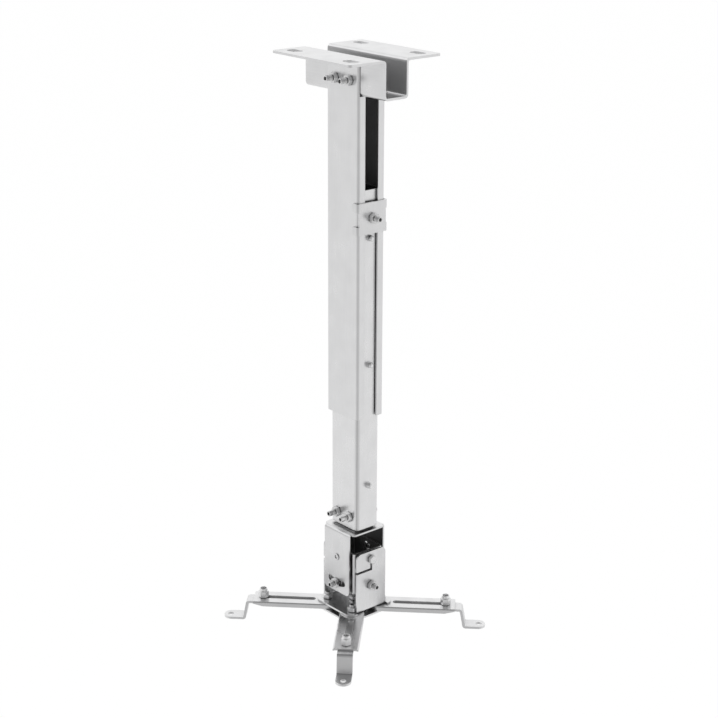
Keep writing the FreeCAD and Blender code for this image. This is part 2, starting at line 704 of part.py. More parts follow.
def arm(label):
    """Pressed arm with a long slot and turned-down sides that run out at its tip. Its pivot is its origin."""
    body = new_body(label)
    outline = Outline(body, "outline", "XY_Plane").tongue("arm_width / 2", "arm_reach")
    pad(body, outline, "arm_depth", "Down")
    rim = [f"Edge{number}" for number, edge in enumerate(body.Shape.Edges, 1)
           if all(abs(vertex.Z) < TOLERANCE for vertex in edge.Vertexes)
           and edge.CenterOfMass.x < value("arm_reach") - TOLERANCE]
    fillet(body, "bends", "arm_bend", rim)
    hollow = Outline(body, "hollow", "XY_Plane", "-arm_sheet")
    pocket(body, hollow.tongue("arm_width / 2 - arm_sheet", "arm_reach + arm_width"), "Down")
    below, beyond = "-arm_depth - arm_sheet", "arm_reach + arm_sheet"
    run_out = Outline(body, "run_out", "XZ_Plane").polygon(
        ("arm_reach - arm_run_out", "-arm_depth"), ("arm_reach", "-arm_sheet - sheet_gap"),
        (beyond, "-arm_sheet - sheet_gap"), (beyond, below), ("arm_reach - arm_run_out", below))
    pocket(body, run_out)
    cuts = Outline(body, "cuts", "XY_Plane").circle("0", "0", HOLE_RADIUS)
    pocket(body, cuts.slot("arm_slot_start", SLOT_END, "0", SLOT_RADIUS))
    countersink(body, HOLE_RADIUS, "-arm_sheet", SINK)
    return body


def foot(label):
    """Cranked strip that slides under an arm and ends in a round foot with a screw hole."""
    body = new_body(label)
    t = "foot_sheet"
    tail, bend = f"({SLOT_END} - foot_tail)", FOOT_BEND
    heel, tip = f"({FOOT_BEND} + foot_lean)", f"({FOOT_HOLE} + foot_tip)"
    strip = Outline(body, "strip", "XZ_Plane").polygon(
        (tail, STRIP_TOP), (bend, STRIP_TOP), (heel, FOOT_TOP), (tip, FOOT_TOP),
        (tip, f"{FOOT_TOP} - {t}"), (f"{heel} - {t}", f"{FOOT_TOP} - {t}"),
        (f"{bend} - {t}", f"{STRIP_TOP} - {t}"), (tail, f"{STRIP_TOP} - {t}"))
    pad(body, strip, "foot_width")
    tight = ((heel, FOOT_TOP), (f"{bend} - {t}", f"{STRIP_TOP} - {t}"))
    wide = ((bend, STRIP_TOP), (f"{heel} - {t}", f"{FOOT_TOP} - {t}"))
    fillet(body, "inner_bends", "foot_bend", edges_along(body, Y_WAY, *tight))
    fillet(body, "outer_bends", "foot_bend + foot_sheet", edges_along(body, Y_WAY, *wide))
    ends = [(end, f"{side}foot_width / 2") for end in (tail, tip) for side in SIDES]
    fillet(body, "ends", "foot_width / 2 - run_gap", edges_along(body, Z_WAY, *ends))
    holes = Outline(body, "holes", "XY_Plane").circle(SLOT_END, "0", HOLE_RADIUS)
    pocket(body, holes.circle(FOOT_HOLE, "0", "foot_hole_radius"))
    return body


def through_bolts(label, pitch, half, z):
    """Pairs of bolts along -Y through a tube's two sides, with their nuts on the -Y side."""
    bolts, nuts = [], []
    for number, end in enumerate(SIDES, 1):
        x = f"{end}{pitch} / 2"
        bolt = hex_bolt(f"{label}_bolt_{number}", f"2 * {half} + nut_height + bolt_end")
        bolts.append(place(bolt, x, half, z, facing(-Y_WAY)))
        nuts.append(place(hex_nut(f"{label}_nut_{number}"), x, f"-{half}", z, facing(-Y_WAY)))
    return [group(f"{label}_bolts", bolts), group(f"{label}_nuts", nuts)]


def outward(axis, distance):
    """The x and y expressions of a spot at a distance out along a level axis."""
    return [f"{round(part)} * ({distance})" for part in (axis.x, axis.y)]


def tilt_fasteners(label, ways, wall, face):
    """Rivets at the pivots and lock bolts below them, one of each on both sides of the ring."""
    rivets, bolts, nuts = [], [], []
    inside = f"({wall} - ring_wall)"
    start = f"({inside} - slip_gap)"
    grip = f"{face} - {inside} + slip_gap"
    shank = f"{face} - {start} + slip_gap + nut_height + lock_end"
    spacer = ("rivet_tail_radius", "ring_gap - 2 * slip_gap")
    tail = ("rivet_tail_radius", "rivet_tail_height", "-rivet_tail_height")
    head = (f"{label}_head_radius", f"{label}_head_height", grip)
    for number, way in enumerate(ways, 1):
        rivet = fused(
            f"{label}_pivot_{number}",
            cylinder(f"{label}_tail_{number}", *tail),
            cylinder(f"{label}_pin_{number}", "bolt_radius", grip),
            cylinder(f"{label}_spacer_{number}", *spacer, "ring_wall + slip_gap"),
            cylinder(f"{label}_head_{number}", *head))
        rivets.append(place(rivet, *outward(way, inside), TILT_Z, facing(way)))
        collar = cylinder(f"{label}_collar_{number}", *spacer, "ring_wall + 2 * slip_gap")
        bolt = hex_bolt(f"{label}_lock_bolt_{number}", shank, collar)
        bolts.append(place(bolt, *outward(way, start), LOCK_Z, facing(way)))
        nut = hex_nut(f"{label}_lock_nut_{number}")
        nuts.append(place(nut, *outward(way, f"{face} + slip_gap"), LOCK_Z, facing(way)))
    locks = [group(f"{label}_lock_bolts", bolts), group(f"{label}_lock_nuts", nuts)]
    return [group(f"{label}_pivots", rivets)] + locks


def clamp_fasteners():
    """Bolt from inside the inner column, out through the slot and the clamp plate, and its nut."""
    inside = "(inner_x / 2 - inner_wall)"
    face = "(column_x / 2 + slip_gap + clamp_sheet)"
    bolt = hex_bolt("clamp_bolt", f"{face} - {inside} + nut_height + clamp_thread")
    nut = hex_nut("clamp_nut")
    return [place(bolt, inside, "0", CLAMP_Z, facing(X_WAY)), place(nut, face, "0", CLAMP_Z, facing(X_WAY))]


def guide_screws():
    """Three screws on the inner column that run in the outer column's slot."""
    screws = []
    for number, z in enumerate(GUIDE_SPOTS, 1):
        screw = round_headed(f"guide_screw_{number}", "guide_head_radius", "guide_head_height",
                             "guide_shank_radius", "guide_shank_length")
        screws.append(place(screw, "inner_x / 2", "0", z, facing(-X_WAY)))
    return group("guide_screws", screws)


def arm_pivots():
    """Sunk bolts up through the arms and the cradle's lobes, and their nuts, turned clear of the bends."""
    bolts, nuts = [], []
    stack = "arm_sheet + slip_gap + cradle_sheet + sheet_gap"
    for name, (x_sign, y_sign) in CORNERS.items():
        x, y = f"{x_sign} * arm_pivot_pitch / 2", f"{y_sign} * arm_pivot_pitch / 2"
        bolt = sunk_bolt(f"arm_pivot_bolt_{name}", f"{stack} + nut_height + pivot_end")
        bolts.append(place(bolt, x, y, f"{ARM_TOP} - arm_sheet"))
        nut = hex_nut(f"arm_pivot_nut_{name}")
        nuts.append(place(nut, x, y, f"{CRADLE_BOTTOM} + cradle_sheet + sheet_gap", Rotation(Z_WAY, 30)))
    return [group("arm_pivot_bolts", bolts), group("arm_pivot_nuts", nuts)]


def cover_fasteners():
    """Spacer between the cover plate and the cradle, and the bolt and nut through all three."""
    gap = f"({CRADLE_BOTTOM} - {COVER_TOP})"
    height = f"({gap} - 2 * slip_gap)"
    spacer = bored("cover_spacer", cylinder("cover_spacer_block", "cover_spacer_radius", height), height)
    stack = f"cover_sheet + {gap} + cradle_sheet + 2 * slip_gap"
    bolt = hex_bolt("cover_bolt", f"{stack} + nut_height + pivot_end")
    return [place(spacer, "0", "0", f"{COVER_TOP} + slip_gap"),
            place(bolt, "0", "0", f"{COVER_TOP} - cover_sheet - slip_gap"),
            place(hex_nut("cover_nut"), "0", "0", f"{CRADLE_BOTTOM} + cradle_sheet + slip_gap")]


def arm_set(name, x_sign, y_sign):
    """One arm at its corner, with its foot and the bolt and nut that hold the foot."""
    turn = Rotation(X_WAY, Vector(x_sign, y_sign, 0))
    x, y = f"{x_sign} * arm_pivot_pitch / 2", f"{y_sign} * arm_pivot_pitch / 2"
    pair = [place(piece, x, y, ARM_TOP, turn) for piece in (arm(f"arm_{name}"), foot(f"foot_{name}"))]
    lock = f"(arm_pivot_pitch / 2 + {SLOT_END} * cos(45))"
    lock_x, lock_y = f"{x_sign} * {lock}", f"{y_sign} * {lock}"
    stack = "foot_sheet + slip_gap + arm_sheet + slip_gap"
    bolt = round_headed(f"foot_bolt_{name}", "carriage_head_radius", "carriage_head_height",
                        "bolt_radius", f"{stack} + nut_height + carriage_end")
    place(bolt, lock_x, lock_y, f"{ARM_TOP} + {STRIP_TOP} - foot_sheet")
    nut = place(sleeved_nut(f"foot_nut_{name}"), lock_x, lock_y, f"{ARM_TOP} + slip_gap", turn)
    return pair + [bolt, nut]


parts = [ceiling_bracket(), outer_column(), inner_column(), clamp_plate()]
parts += [tube_socket(), yoke(), tilt_ring(), cradle(), cover_plate()]
parts += through_bolts("bracket", "bracket_bolt_pitch", "(column_y / 2)", "-bracket_bolt_drop")
parts += through_bolts("socket", "socket_bolt_pitch", f"({INNER_Y} / 2)", SOCKET_BOLT_Z)
parts += clamp_fasteners()
parts.append(guide_screws())
parts += tilt_fasteners("pitch", (Y_WAY, -Y_WAY), "ring_y / 2", YOKE_OUTER)
parts += tilt_fasteners("roll", (X_WAY, -X_WAY), "ring_x / 2", CRADLE_OUTER)
parts += arm_pivots()
parts += cover_fasteners()
for corner, signs in CORNERS.items():
    parts += arm_set(corner, *signs)
doc.recompute()

failed = [item.Name for item in doc.Objects if {"Invalid", "Error"} & set(item.State)]
failed += [item.Label for item in parts if item.Shape.isNull() or not item.Shape.isValid()]
if failed:
    raise RuntimeError(f"not built: {failed}")
os.makedirs("parts", exist_ok=True)
for item in parts:
    item.Shape.exportStep(f"parts/{item.Label}.step")
    print(f"{item.Label}: {len(item.Shape.Solids)} solid(s), {item.Shape.Volume / 1000:.2f} cm3")
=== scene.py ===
"""Looks for a telescopic projector mount: satin plated sheet, bright fasteners and a white studio."""

import logging
import math
from dataclasses import dataclass
from enum import Enum

import bmesh
import bpy
from mathutils import Matrix, Vector


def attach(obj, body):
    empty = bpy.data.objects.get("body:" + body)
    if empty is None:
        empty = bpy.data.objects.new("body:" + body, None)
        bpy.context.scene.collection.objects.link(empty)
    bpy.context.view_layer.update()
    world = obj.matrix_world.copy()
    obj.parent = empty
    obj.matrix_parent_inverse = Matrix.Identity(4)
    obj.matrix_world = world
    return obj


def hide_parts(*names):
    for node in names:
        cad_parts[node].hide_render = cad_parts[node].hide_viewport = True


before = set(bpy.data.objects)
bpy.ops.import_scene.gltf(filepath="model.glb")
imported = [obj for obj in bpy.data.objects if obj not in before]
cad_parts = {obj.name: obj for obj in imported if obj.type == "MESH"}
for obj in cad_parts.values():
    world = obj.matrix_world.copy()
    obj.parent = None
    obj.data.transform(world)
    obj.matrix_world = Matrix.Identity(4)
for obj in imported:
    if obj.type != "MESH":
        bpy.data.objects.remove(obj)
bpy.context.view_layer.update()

LOG = logging.getLogger("projector_mount")
MM = 0.001
MERGE = 1e-7
ON_PLANE = 1e-8
SHARP = math.radians(32.0)
TURN = 2.0 * math.pi

# Shapes that all fasteners share. Lengths are in millimetres, the rest are counts, angles and shares.
OVERLAP = 0.2
ROUND = 36
HEX_SIDES = 6
HEX_TURN = math.radians(30.0)
CHAMFER_ANGLE = math.radians(30.0)
CHAMFER_CUTS = 18
CHAMFER_START = 0.985
WASHER_SHARE = 0.93
RIM_SHARE = 0.28
DOME_FULLNESS = 0.8
SOFT_RIM = 0.2
HEAD_RIM = 0.3
SHANK_ROUND = 28
THREAD_STEPS = 24
THREAD_DEPTH = 0.55
THREAD_CREST = (0.42, 0.58)
THREAD_SINK = 0.05
THREAD_GAP = 0.02
THREAD_RUN_IN = 0.3
SHANK_BEVEL = 0.6

Colour = tuple[float, float, float]
Point = tuple[float, float, float]
Profile = list[tuple[float, float]]
Form = bmesh.types.BMesh
Socket = bpy.types.NodeSocket


class Way(Enum):
    """Directions that a fastener's shank or a sheet's grain can take."""

    RIGHT = (1.0, 0.0, 0.0)
    LEFT = (-1.0, 0.0, 0.0)
    BACK = (0.0, 1.0, 0.0)
    FRONT = (0.0, -1.0, 0.0)
    UP = (0.0, 0.0, 1.0)

    @property
    def vector(self) -> Vector:
        """The direction as a vector."""
        return Vector(self.value)


class Corner(Enum):
    """The four corners of the cradle, by the signs of x and y."""

    RIGHT = (1, 1)
    BACK = (-1, 1)
    LEFT = (-1, -1)
    FRONT = (1, -1)

    @property
    def label(self) -> str:
        """The corner's word in the names of nodes and bodies."""
        return self.name.lower()

    @property
    def angle(self) -> float:
        """The heading of the arm at this corner, in radians about z."""
        return math.atan2(self.value[1], self.value[0])


class Axis(Enum):
    """The tilt box's two axes, by their name in the nodes."""

    PITCH = "pitch"
    ROLL = "roll"


class Graph:
    """A node tree, built by short calls that each return an output socket."""

    # The Mix node's sockets for colours come after those for numbers and vectors.
    MIX_COLOURS = (6, 7)
    MIX_RESULT = 2

    def __init__(self, tree: bpy.types.NodeTree) -> None:
        """Empties the tree.

        Args:
            tree: the node tree of a material or of the world.
        """
        self.tree = tree
        tree.nodes.clear()

    def node(self, kind: str, **settings: object) -> bpy.types.Node:
        """Adds a node.

        Args:
            kind: the node's type, without its ShaderNode prefix.
            settings: properties to set on it.

        Returns:
            The new node.
        """
        made = self.tree.nodes.new(f"ShaderNode{kind}")
        for name, value in settings.items():
            setattr(made, name, value)
        return made

    def feed(self, socket: Socket, value: object) -> None:
        """Links an output socket to an input, or sets the input's own value.

        Args:
            socket: the input socket.
            value: an output socket or a plain value.
        """
        if isinstance(value, Socket):
            self.tree.links.new(value, socket)
        else:
            socket.default_value = value

    def math(self, operation: str, first: object, second: object) -> Socket:
        """One step of arithmetic.

        Args:
            operation: the Math node's operation.
            first: its first value or socket.
            second: its second value or socket.

        Returns:
            The result's socket.
        """
        made = self.node("Math", operation=operation)
        self.feed(made.inputs[0], first)
        self.feed(made.inputs[1], second)
        return made.outputs[0]

    def vector(self, operation: str, first: object, second: object) -> bpy.types.Node:
        """One step of vector arithmetic.

        Args:
            operation: the Vector Math node's operation.
            first: its first vector or socket.
            second: its second vector or socket.

        Returns:
            The node, with its vector and its value as outputs.
        """
        made = self.node("VectorMath", operation=operation)
        self.feed(made.inputs[0], first)
        self.feed(made.inputs[1], second)
        return made

    def spread(self, value: object, low: float, high: float, to_low: float, to_high: float) -> Socket:
        """Maps one range to another, and clamps it there.

        Args:
            value: the socket to map.
            low: where the range starts.
            high: where the range ends.
            to_low: what its start becomes.
            to_high: what its end becomes.

        Returns:
            The mapped socket.
        """
        made = self.node("MapRange", clamp=True)
        for socket, number in zip(made.inputs, (value, low, high, to_low, to_high)):
            self.feed(socket, number)
        return made.outputs[0]

    def blend(self, factor: object, first: object, second: object) -> Socket:
        """Mixes two colours.

        Args:
            factor: how much of the second colour shows.
            first: a colour or its socket.
            second: a colour or its socket.

        Returns:
            The mixed colour's socket.
        """
        made = self.node("Mix", data_type="RGBA")
        self.feed(made.inputs[0], factor)
        for place, value in zip(self.MIX_COLOURS, (first, second)):
            self.feed(made.inputs[place], (*value, 1.0) if isinstance(value, tuple) else value)
        return made.outputs[self.MIX_RESULT]

    def noise(self, vector: Socket, scale: float, detail: float) -> Socket:
        """Soft noise from 0 to 1.

        Args:
            vector: the place to read it at.
            scale: how many features there are in a unit of length.
            detail: how many finer layers it has.

        Returns:
            The noise's socket.
        """
        made = self.node("TexNoise")
        self.feed(made.inputs["Vector"], vector)
        self.feed(made.inputs["Scale"], scale)
        self.feed(made.inputs["Detail"], detail)
        return made.outputs["Fac"]


@dataclass(frozen=True)
class Hollow:
    """A box, in millimetres, inside which a sheet gets painted shade and a duller finish."""

    low: Point
    high: Point

    def mask(self, graph: Graph, place: Socket) -> Socket:
        """A socket that is 1 inside the box.

        Args:
            graph: the material's tree.
            place: the Object coordinates.

        Returns:
            The mask's socket.
        """
        split = graph.node("SeparateXYZ")
        graph.feed(split.inputs[0], place)
        inside: object = 1.0
        for socket, low, high in zip(split.outputs, self.low, self.high):
            above = graph.math("GREATER_THAN", socket, low * MM)
            below = graph.math("LESS_THAN", socket, high * MM)
            inside = graph.math("MULTIPLY", inside, graph.math("MULTIPLY", above, below))
        return inside


@dataclass(frozen=True)
class PlatedSteel:
    """Satin plated sheet with a fine rolled grain and cloudy plating, a painted highlight on its edges and
    corners, and painted shade in its crevices and hollows.

    Lengths are in millimetres. The scales of grain, clouds and specks are features to the metre.
    """

    name: str
    colour: Colour
    shade: Colour
    # the pale colour of the painted highlight on edges and corners
    edge: Colour
    smooth: float
    rough: float
    grain: Way
    heading: float = 0.0
    hollows: tuple[Hollow, ...] = ()
    # the dark colour of the painted shade, inside the hollows and in crevices
    inner: Colour = (0.12, 0.12, 0.122)
    dull: float = 0.6
    # reach and strength of the painted shade in crevices
    crevice: float = 7.0
    crevice_shade: float = 0.45
    fine: float = 2600.0
    long: float = 45.0
    clouds: float = 60.0
    specks: float = 900.0
    streak_share: float = 0.45
    edge_radius: float = 0.35
    bump_height: float = 0.02
    bump_strength: float = 0.12

    # How finely patterns and edges are worked out.
    DETAIL = 3.0
    SPECK_DETAIL = 2.0
    EDGE_SAMPLES = 4
    CREVICE_SAMPLES = 6

    # What a pattern's value has to pass to show, and how much it then shows.
    TONE = (0.36, 0.64, 0.0, 1.0)
    FLECK = (0.62, 0.72, 0.0, 0.25)
    # painted highlight: how far the softened normal must turn from the flat one, and how much pale edge
    # colour then shows
    EDGE_HIGHLIGHT = (0.995, 0.90, 0.0, 0.8)
    # painted shade in crevices: the range of ambient occlusion over which the colour darkens
    CREVICE_SHADE_RANGE = (0.15, 0.80)
    GLOSS = (0.3, 0.7)

    def streaks(self, graph: Graph, place: Socket) -> Socket:
        """The rolled grain, as noise drawn out along the sheet.

        Args:
            graph: the material's tree.
            place: the Object coordinates.

        Returns:
            The grain's socket.
        """
        along = graph.node("Mapping", vector_type="TEXTURE")
        graph.feed(along.inputs["Vector"], place)
        along.inputs["Rotation"].default_value = (0.0, 0.0, self.heading)
        drawn = graph.node("Mapping")
        graph.feed(drawn.inputs["Vector"], along.outputs[0])
        scales = [self.long if part else self.fine for part in self.grain.value]
        drawn.inputs["Scale"].default_value = scales
        return graph.noise(drawn.outputs[0], 1.0, self.DETAIL)

    def plating_and_painted_light(self, graph: Graph, place: Socket, tone: Socket, soft: Socket) -> Socket:
        """The plating's colour, with its clouds and specks, a painted highlight on edges and corners and
        painted shade in crevices.

        Args:
            graph: the material's tree.
            place: the Object coordinates.
            tone: the pattern of grain and clouds.
            soft: the normal with softened edges.

        Returns:
            The colour's socket.
        """
        speck = graph.noise(place, self.specks, self.SPECK_DETAIL)
        flat = graph.node("NewGeometry").outputs["Normal"]
        facing = graph.vector("DOT_PRODUCT", soft, flat).outputs["Value"]
        colour = graph.blend(graph.spread(tone, *self.TONE), self.colour, self.shade)
        colour = graph.blend(graph.spread(speck, *self.FLECK), colour, self.shade)
        # Painted highlight: where the softened normal turns away from the flat one, at edges and corners,
        # the colour goes pale.
        colour = graph.blend(graph.spread(facing, *self.EDGE_HIGHLIGHT), colour, self.edge)
        # Painted shade: crevices that ambient occlusion finds go toward the dark shade colour.
        shelter = graph.node("AmbientOcclusion", samples=self.CREVICE_SAMPLES)
        shelter.inputs["Distance"].default_value = self.crevice * MM
        painted_crevice_shade = graph.spread(shelter.outputs["AO"], *self.CREVICE_SHADE_RANGE, self.crevice_shade, 0.0)
        return graph.blend(painted_crevice_shade, colour, self.inner)

    def material(self) -> bpy.types.Material:
        """Builds the material.

        Returns:
            The finished material.
        """
        made = bpy.data.materials.new(self.name)
        made.use_nodes = True
        graph = Graph(made.node_tree)
        place = graph.node("TexCoord").outputs["Object"]
        streak = self.streaks(graph, place)
        cloud = graph.noise(place, self.clouds, self.DETAIL)
        tone = graph.math("ADD", graph.math("MULTIPLY", streak, self.streak_share),
                          graph.math("MULTIPLY", cloud, 1.0 - self.streak_share))
        bevel = graph.node("Bevel", samples=self.EDGE_SAMPLES)
        bevel.inputs["Radius"].default_value = self.edge_radius * MM
        colour = self.plating_and_painted_light(graph, place, tone, bevel.outputs[0])
        roughness = graph.spread(tone, *self.GLOSS, self.smooth, self.rough)
        # Painted shade: inside each hollow the colour becomes the dark shade colour, and the sheet turns
        # duller.
        for hollow in self.hollows:
            mask = hollow.mask(graph, place)
            colour = graph.blend(mask, colour, self.inner)
            roughness = graph.math("MAXIMUM", roughness, graph.math("MULTIPLY", mask, self.dull))
        bump = graph.node("Bump")
        bump.inputs["Strength"].default_value = self.bump_strength
        bump.inputs["Distance"].default_value = self.bump_height * MM
        graph.feed(bump.inputs["Height"], streak)
        graph.feed(bump.inputs["Normal"], bevel.outputs[0])
        shader = graph.node("BsdfPrincipled")
        shader.inputs["Metallic"].default_value = 1.0
        graph.feed(shader.inputs["Base Color"], colour)
        graph.feed(shader.inputs["Roughness"], roughness)
        graph.feed(shader.inputs["Normal"], bump.outputs[0])
        graph.feed(graph.node("OutputMaterial").inputs["Surface"], shader.outputs[0])
        return made


class Finish(Enum):
    """The finishes of the mount."""

    # Each hollow below paints shade inside the hat, the two columns, the yoke and the ring, and in a thin
    # band round the ring. The third colour of each finish is its painted edge highlight.
    BRACKET = PlatedSteel(
        "bracket_plate", (0.82, 0.82, 0.825), (0.77, 0.77, 0.775), (0.96, 0.96, 0.96),
        0.26, 0.36, Way.RIGHT, inner=(0.55, 0.55, 0.555), crevice_shade=0.30,
        hollows=(Hollow((-60.0, -11.0, -28.2), (60.0, 11.0, -0.8)),))
    OUTER = PlatedSteel(
        "outer_column_plate", (0.84, 0.84, 0.845), (0.80, 0.80, 0.805), (0.95, 0.95, 0.95),
        0.26, 0.36, Way.UP, inner=(0.45, 0.45, 0.455),
        hollows=(Hollow((-18.7, -13.2, -310.0), (18.3, 13.2, 0.0)),))
    INNER = PlatedSteel(
        "inner_column_plate", (0.87, 0.87, 0.875), (0.83, 0.83, 0.835), (0.95, 0.95, 0.95),
        0.24, 0.34, Way.UP, inner=(0.20, 0.20, 0.202),
        hollows=(Hollow((-16.5, -11.5, -412.5), (16.5, 11.5, -109.0)),))
    CLAMP = PlatedSteel(
        "clamp_plate", (0.81, 0.81, 0.815), (0.76, 0.76, 0.765), (0.94, 0.94, 0.94),
        0.26, 0.36, Way.UP)
    BOX = PlatedSteel(
        "tilt_box_plate", (0.82, 0.82, 0.825), (0.76, 0.76, 0.765), (0.96, 0.96, 0.96),
        0.24, 0.36, Way.UP)
    RING = PlatedSteel(
        "tilt_ring_plate", (0.92, 0.92, 0.925), (0.87, 0.87, 0.875), (0.95, 0.95, 0.95),
        0.28, 0.40, Way.RIGHT, inner=(0.20, 0.20, 0.202), crevice_shade=0.15,
        hollows=(Hollow((-17.6, -15.1, -480.0), (17.6, 15.1, -430.0)),
                 Hollow((-19.5, -17.0, -433.3), (19.5, 17.0, -432.7))))
    YOKE = PlatedSteel(
        "yoke_plate", (0.82, 0.82, 0.825), (0.76, 0.76, 0.765), (0.96, 0.96, 0.96),
        0.24, 0.36, Way.UP, inner=(0.18, 0.18, 0.182), crevice_shade=0.30,
        hollows=(Hollow((-21.0, -18.9, -476.0), (21.0, 18.9, -415.4)),))
    ARM_RISING = PlatedSteel(
        "arm_plate_rising", (0.82, 0.82, 0.825), (0.77, 0.77, 0.775), (0.95, 0.95, 0.95),
        0.24, 0.36, Way.RIGHT, heading=math.radians(45.0))
    ARM_FALLING = PlatedSteel(
        "arm_plate_falling", (0.82, 0.82, 0.825), (0.77, 0.77, 0.775), (0.95, 0.95, 0.95),
        0.24, 0.36, Way.RIGHT, heading=math.radians(-45.0))
    FASTENER = PlatedSteel(
        "bright_fastener", (0.84, 0.84, 0.845), (0.68, 0.68, 0.685), (0.95, 0.95, 0.95),
        0.16, 0.30, Way.UP, inner=(0.03, 0.03, 0.03), crevice=3.0, crevice_shade=0.75,
        fine=1400.0, long=300.0)
    POLISHED = PlatedSteel(
        "polished_fastener", (0.95, 0.95, 0.955), (0.88, 0.88, 0.885), (0.98, 0.98, 0.98),
        0.26, 0.40, Way.UP, crevice=2.0, crevice_shade=0.35, fine=1400.0, long=300.0)


class FinishShelf:
    """Keeps one material of each finish."""

    made: dict[Finish, bpy.types.Material] = {}

    @classmethod
    def get(cls, finish: Finish) -> bpy.types.Material:
        """The finish's material, built on first use.

        Args:
            finish: which finish.

        Returns:
            Its material.
        """
        if finish not in cls.made:
            cls.made[finish] = finish.value.material()
        return cls.made[finish]


def chain(form: Form, profile: Profile,
          closed: bool) -> tuple[list[bmesh.types.BMVert], list[bmesh.types.BMEdge]]:
    """Draws a profile upright beside the z axis.

    Args:
        form: the bmesh to add to.
        profile: pairs of radius and height, in millimetres.
        closed: whether its last point is joined to its first.

    Returns:
        The profile's vertices and edges.
    """
    points = [form.verts.new((radius * MM, 0.0, height * MM)) for radius, height in profile]
    following = points[1:] + points[:1] if closed else points[1:]
    return points, [form.edges.new(pair) for pair in zip(points, following)]


def spin_round(form: Form, profile: Profile, segments: int = ROUND, hollow: bool = False) -> None:
    """Spins a profile round the z axis into a closed form.

    Args:
        form: the bmesh to add to.
        profile: pairs of radius and height, from axis to axis or all round a hollow form's wall.
        segments: how many steps a turn has.
        hollow: whether the profile closes on itself, clear of the axis.
    """
    points, edges = chain(form, profile, hollow)
    bmesh.ops.spin(form, geom=points + edges, cent=(0, 0, 0), axis=(0, 0, 1), angle=TURN, steps=segments,
                   use_merge=True)


def turned(profile: Profile, segments: int = ROUND, hollow: bool = False) -> Form:
    """A turned form in a bmesh of its own.

    Args:
        profile: pairs of radius and height, in millimetres.
        segments: how many steps a turn has.
        hollow: whether the profile closes on itself, clear of the axis.

    Returns:
        The form.
    """
    form = bmesh.new()
    spin_round(form, profile, segments, hollow)
    return form


def domed(radius: float, height: float, steps: int = 7) -> Form:
    """A low domed head that hangs below the face it bears on.

    Args:
        radius: the head's radius.
        height: its height.
        steps: how many points its curve has.

    Returns:
        The form, in a bmesh of its own.
    """
    rim = RIM_SHARE * height
    profile = [(0.0, 0.0), (radius, 0.0)]
    for step in range(steps - 1):
        angle = math.pi / 2 * step / (steps - 1)
        profile.append((radius * math.cos(angle) ** DOME_FULLNESS, -rim - (height - rim) * math.sin(angle)))
    return turned(profile + [(0.0, -height)])


def collar(radius: float, base: float, length: float) -> Form:
    """A plain spacer with softened rims.

    Args:
        radius: its radius.
        base: the height of its lower face.
        length: how long it is.

    Returns:
        The form, in a bmesh of its own.
    """
    top, inside = base + length, radius - SOFT_RIM
    return turned([(0.0, base), (inside, base), (radius, base + SOFT_RIM),
                   (radius, top - SOFT_RIM), (inside, top), (0.0, top)])


def trim(form: Form, point: Vector, normal: Vector) -> None:
    """Cuts a closed form along a plane, drops what is outside and closes the cut.

    Args:
        form: the bmesh to cut.
        point: a point of the plane.
        normal: the way that the dropped side lies.
    """
    everything = form.verts[:] + form.edges[:] + form.faces[:]
    cut = bmesh.ops.bisect_plane(form, geom=everything, dist=ON_PLANE, plane_co=point, plane_no=normal,
                                 clear_outer=True)
    rim = [item for item in cut["geom_cut"] if isinstance(item, bmesh.types.BMEdge) and item.is_boundary]
    if rim:
        bmesh.ops.holes_fill(form, edges=rim, sides=0)


def hexagon(across: float, base: float, height: float, washer: float = 0.25) -> Form:
    """A six-sided nut or head with turned corners and a washer face at both ends.

    Args:
        across: the width across flats.
        base: the height of its lower face.
        height: how tall it is.
        washer: how far each washer face stands out.

    Returns:
        The form, in a bmesh of its own.
    """
    form = bmesh.new()
    corner = across / math.sqrt(3.0) * MM
    middle, top = base + height / 2, base + height
    place = Matrix.Translation((0.0, 0.0, middle * MM)) @ Matrix.Rotation(HEX_TURN, 4, "Z")
    bmesh.ops.create_cone(form, cap_ends=True, segments=HEX_SIDES, radius1=corner, radius2=corner,
                          depth=(height - 2 * washer) * MM, matrix=place)
    reach = across / 2 * CHAMFER_START
    for end in (1, -1):
        level = Vector((0.0, 0.0, middle + end * (height / 2 - washer)))
        rise = Vector((0.0, 0.0, end * math.cos(CHAMFER_ANGLE)))
        for step in range(CHAMFER_CUTS):
            heading = TURN * step / CHAMFER_CUTS
            out = Vector((math.cos(heading), math.sin(heading), 0.0))
            trim(form, (out * reach + level) * MM, out * math.sin(CHAMFER_ANGLE) + rise)
    face = across / 2 * WASHER_SHARE
    spin_round(form, [(0.0, base), (face, base), (face, top), (0.0, top)])
    return form


def threaded(radius: float, base: float, end: float, pitch: float = 0.8, plain: float = 0.0) -> Form:
    """A shank with a helical thread and a turned end.

    Args:
        radius: the thread's outer radius.
        base: the height where the shank starts.
        end: the height of its tip.
        pitch: how far the thread climbs in a turn.
        plain: how much of the shank stays plain at its start.

    Returns:
        The form, in a bmesh of its own.
    """
    form = bmesh.new()
    root, crest = radius - THREAD_DEPTH * pitch, radius - THREAD_GAP
    first, last = base + plain, end - SHANK_BEVEL
    start = [(crest, base), (crest, first), (root, first + THREAD_RUN_IN)] if plain else [(root, base)]
    core = [(0.0, base), *start, (root, last), (root - SHANK_BEVEL, end), (0.0, end)]
    spin_round(form, core, SHANK_ROUND)
    turns = (last - first - pitch) / pitch
    low, high = (first + share * pitch for share in THREAD_CREST)
    sunk = root - THREAD_SINK
    ridge, loop = chain(form, [(sunk, first), (crest, low), (crest, high), (sunk, first + pitch)], True)
    form.faces.new(ridge)
    swept = bmesh.ops.spin(form, geom=ridge + loop, cent=(0, 0, 0), axis=(0, 0, 1),
                           dvec=(0, 0, pitch * MM / THREAD_STEPS), angle=TURN * turns,
                           steps=max(1, round(THREAD_STEPS * turns)), use_merge=False)
    form.faces.new([item for item in swept["geom_last"] if isinstance(item, bmesh.types.BMVert)])
    return form


